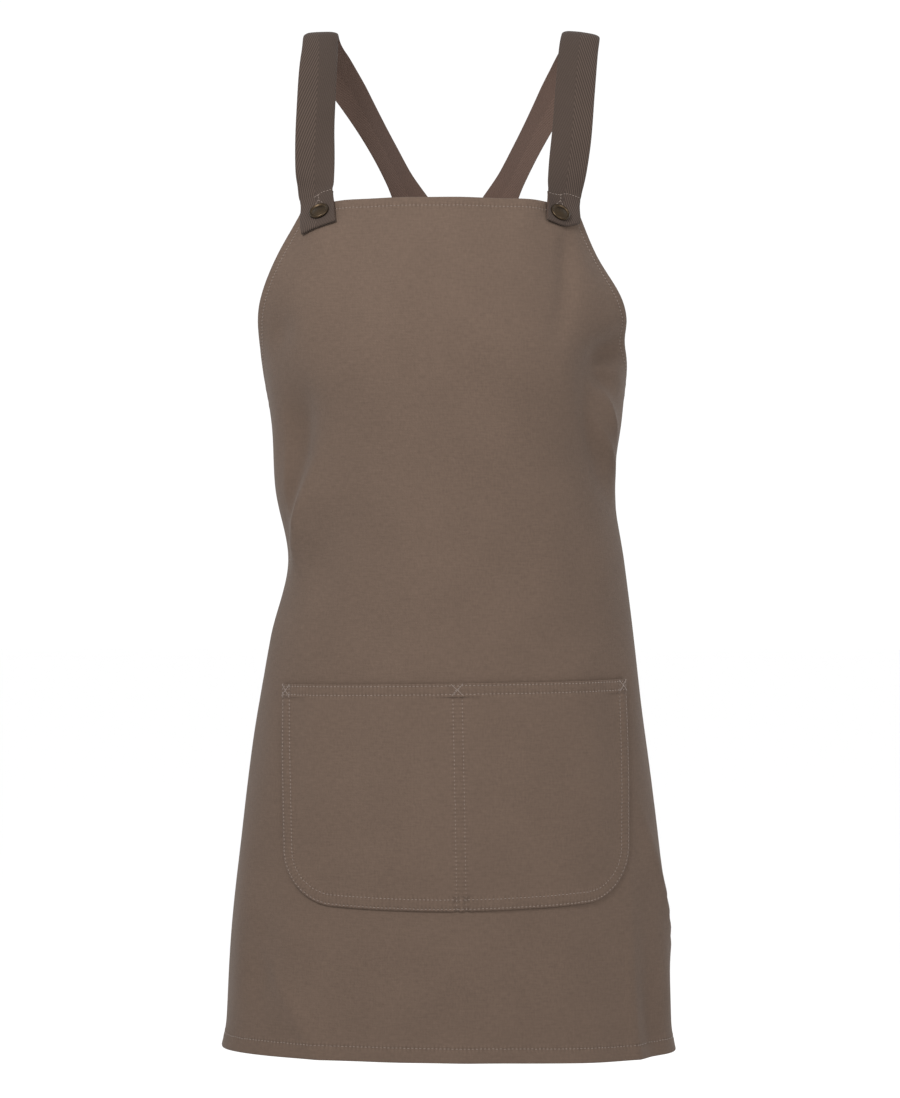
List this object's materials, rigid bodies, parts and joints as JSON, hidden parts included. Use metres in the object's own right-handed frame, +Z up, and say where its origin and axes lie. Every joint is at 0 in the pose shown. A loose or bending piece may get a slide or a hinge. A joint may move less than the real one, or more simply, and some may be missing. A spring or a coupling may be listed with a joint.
{
  "type": "cross back apron",
  "caption": "Short bib apron of canvas in its worn form, with webbing straps that cross at the back, brass studs and a wide patch pocket.",
  "frame": {"origin": "midway between the tops of the two shoulder straps, where the wearer's shoulders carry the apron", "axes": "+Z up, -Y towards the apron's front, +X to the right as seen from the front"},
  "size_m": [0.3765, 0.232, 0.8467],
  "materials": {
    "canvas": "matte woven cotton canvas, grey brown",
    "webbing": "herringbone twill webbing, dark grey brown",
    "thread": "spun polyester thread, lighter than the cloth",
    "stud_brass": "antique brass, dark and satin"
  },
  "bodies": {
    "root": {"apron_panel": "canvas", "pocket": "canvas", "strap_left": "webbing", "strap_right": "webbing", "stud_cap_front_left": "stud_brass", "stud_cap_front_right": "stud_brass", "stud_cap_rear_left": "stud_brass", "stud_cap_rear_right": "stud_brass", "stud_back_front_left": "stud_brass", "stud_back_front_right": "stud_brass", "stud_back_rear_left": "stud_brass", "stud_back_rear_right": "stud_brass"}
  },
  "joints": []
}
